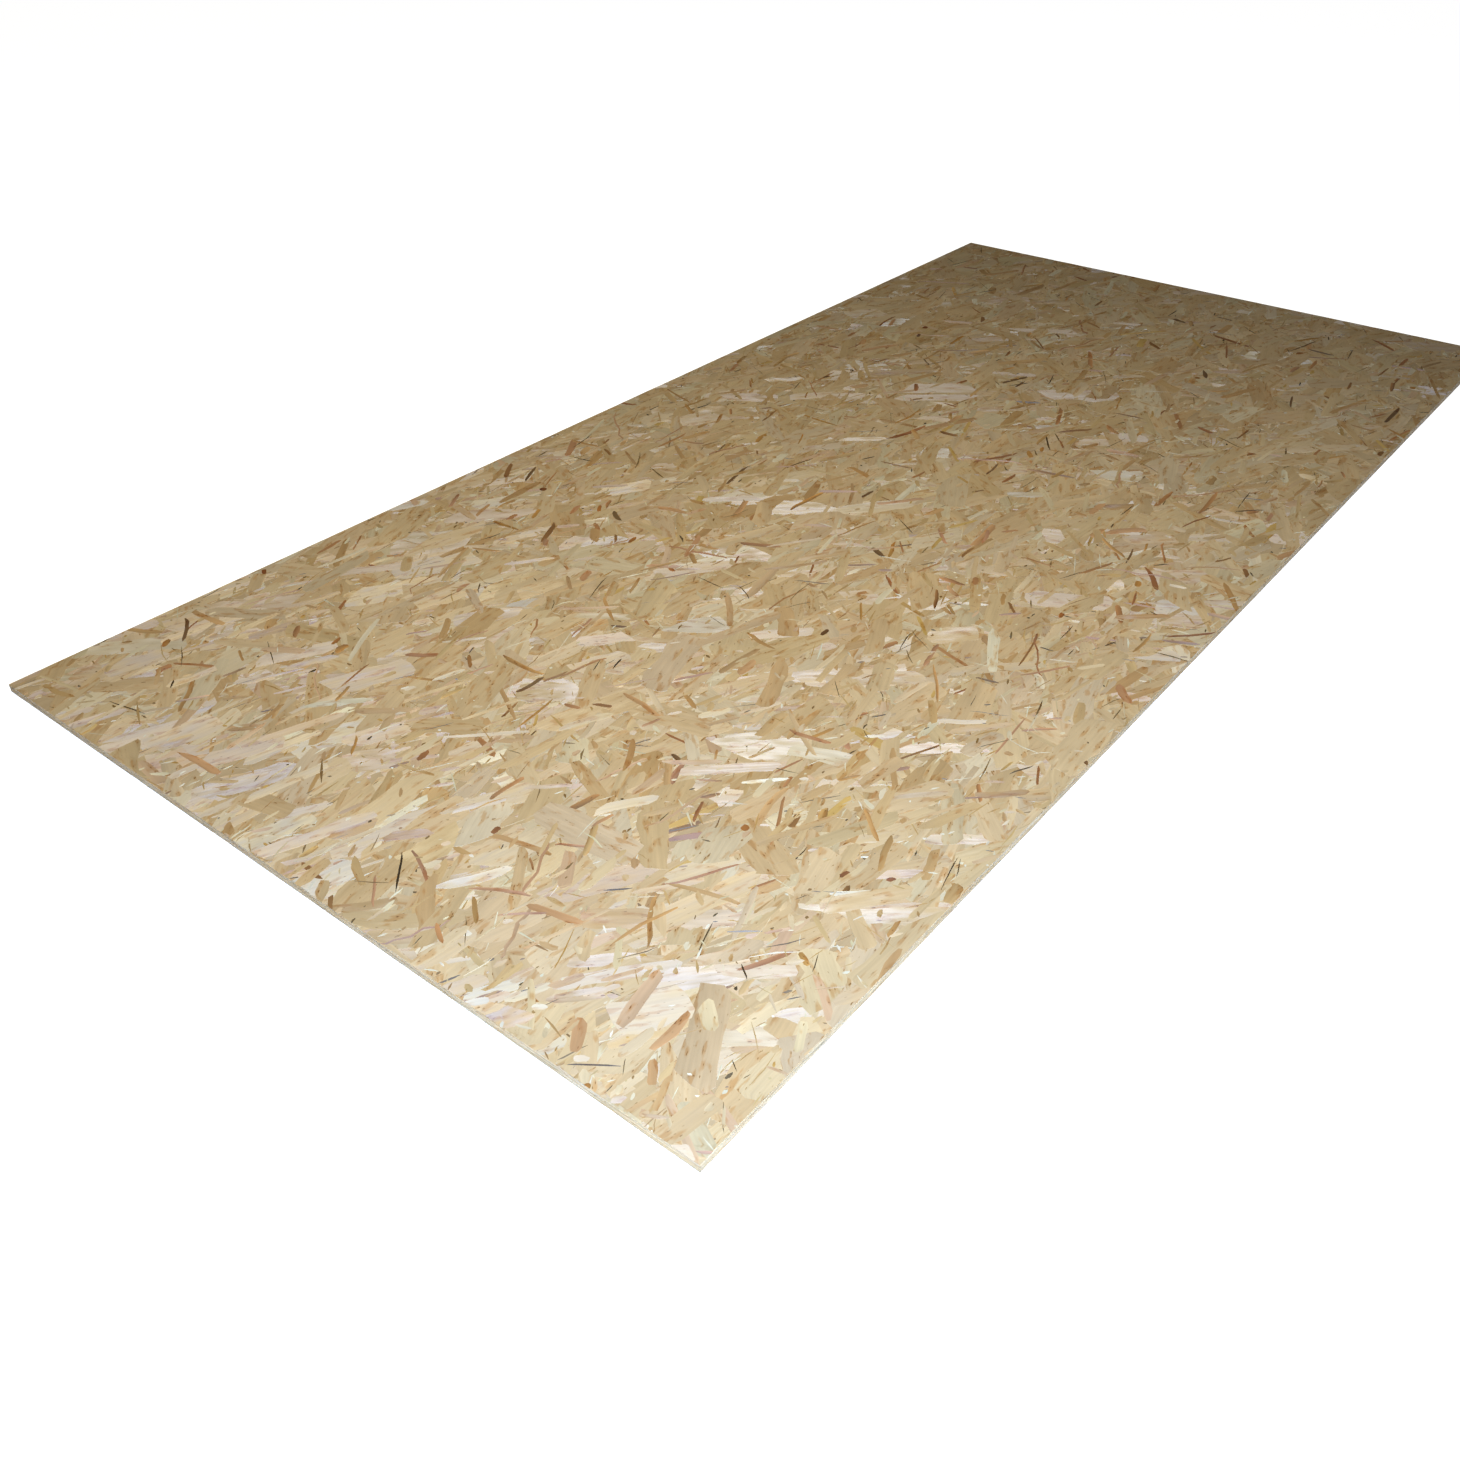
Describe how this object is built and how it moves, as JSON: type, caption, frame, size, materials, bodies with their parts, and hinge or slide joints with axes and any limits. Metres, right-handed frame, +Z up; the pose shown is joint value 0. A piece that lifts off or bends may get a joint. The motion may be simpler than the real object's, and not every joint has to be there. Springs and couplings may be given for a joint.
{
  "type": "osb board",
  "caption": "Flat rectangular sheet of oriented strand board with plain square sawn edges, for sheathing, decking and flooring.",
  "frame": {"origin": "centre of the underside, where the sheet lies on the floor", "axes": "+X along the sheet's length, +Y across its width, +Z up through its thickness"},
  "size_m": [2.44, 1.22, 0.012],
  "materials": {
    "strand_board": "pressed wood strands in resin, satin, unsealed sawn edges"
  },
  "bodies": {
    "root": {"osb_board": "strand_board"}
  },
  "joints": []
}
